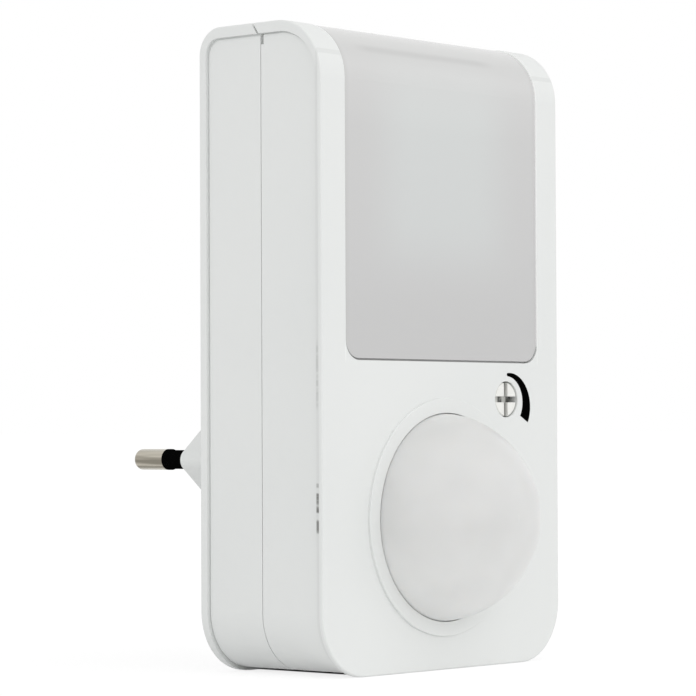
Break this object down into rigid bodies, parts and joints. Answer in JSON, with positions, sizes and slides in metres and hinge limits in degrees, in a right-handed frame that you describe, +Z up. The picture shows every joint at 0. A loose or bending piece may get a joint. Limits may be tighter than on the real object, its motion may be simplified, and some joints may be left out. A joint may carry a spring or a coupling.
{
  "type": "plug-in night light",
  "caption": "Wall-plug night light with a milky light window that wraps over its top, a domed motion-sensor lens and a slotted twilight dial.",
  "frame": {"origin": "middle of the plug's end face, between its two pins", "axes": "+Z up, +Y out of the plug along its pins, the light window, lens and dial face -Y, +X to the right seen from the front"},
  "size_m": [0.067, 0.085, 0.115],
  "materials": {
    "white_plastic": "fine satin white moulding",
    "milky_window": "frosted translucent grey-white",
    "milky_lens": "milky, faintly warm, half gloss",
    "dial_plastic": "natural pale moulding",
    "black_plastic": "smooth black",
    "plated_brass": "nickel plated, turned",
    "plated_steel": "zinc plated",
    "brown_insulation": "smooth",
    "blue_insulation": "smooth",
    "red_insulation": "smooth",
    "board_laminate": "green lacquered laminate",
    "led_phosphor": "yellow phosphor in a white case",
    "dark_filter": "dark mirror-like filter",
    "cell_ceramic": "lacquered ceramic disc",
    "capacitor_case": "moulded box",
    "capacitor_sleeve": "shrunk sleeve",
    "varistor_coating": "dipped epoxy",
    "resistor_coating": "lacquered body on tinned leads"
  },
  "bodies": {
    "housing": {"rear_housing": "white_plastic", "front_housing": "white_plastic", "front_cover": "white_plastic", "light_diffuser": "milky_window", "lens_dome": "milky_lens", "trimmer_body": "black_plastic", "trimmer_cap": "plated_steel", "live_pin": "plated_brass", "neutral_pin": "plated_brass", "live_pin_sleeve": "black_plastic", "neutral_pin_sleeve": "black_plastic", "live_wire": "brown_insulation", "neutral_wire": "blue_insulation", "pin_carrier": "black_plastic", "carrier_screw": "plated_steel", "housing_screws": "plated_steel", "control_board": "board_laminate", "board_screws": "plated_steel", "reflector": "white_plastic", "led_board": "board_laminate", "leds": "led_phosphor", "motion_sensor": "plated_steel", "sensor_window": "dark_filter", "sensor_shroud": "white_plastic", "light_cell": "cell_ceramic", "control_chip": "black_plastic", "film_capacitor": "capacitor_case", "smoothing_capacitor": "capacitor_sleeve", "filter_capacitor": "capacitor_sleeve", "bridge_rectifier": "black_plastic", "varistor": "varistor_coating", "fuse_resistor": "resistor_coating", "link_wires": "red_insulation"},
    "dial": {"twilight_dial": "dial_plastic", "trimmer_rotor": "dial_plastic"}
  },
  "joints": [
    {"name": "dial_turn", "type": "hinge", "parent": "housing", "child": "dial", "pos_m": [0.01785, -0.0487, 0.011], "axis": [0, 1, 0], "range_deg": [-135, 135]}
  ]
}
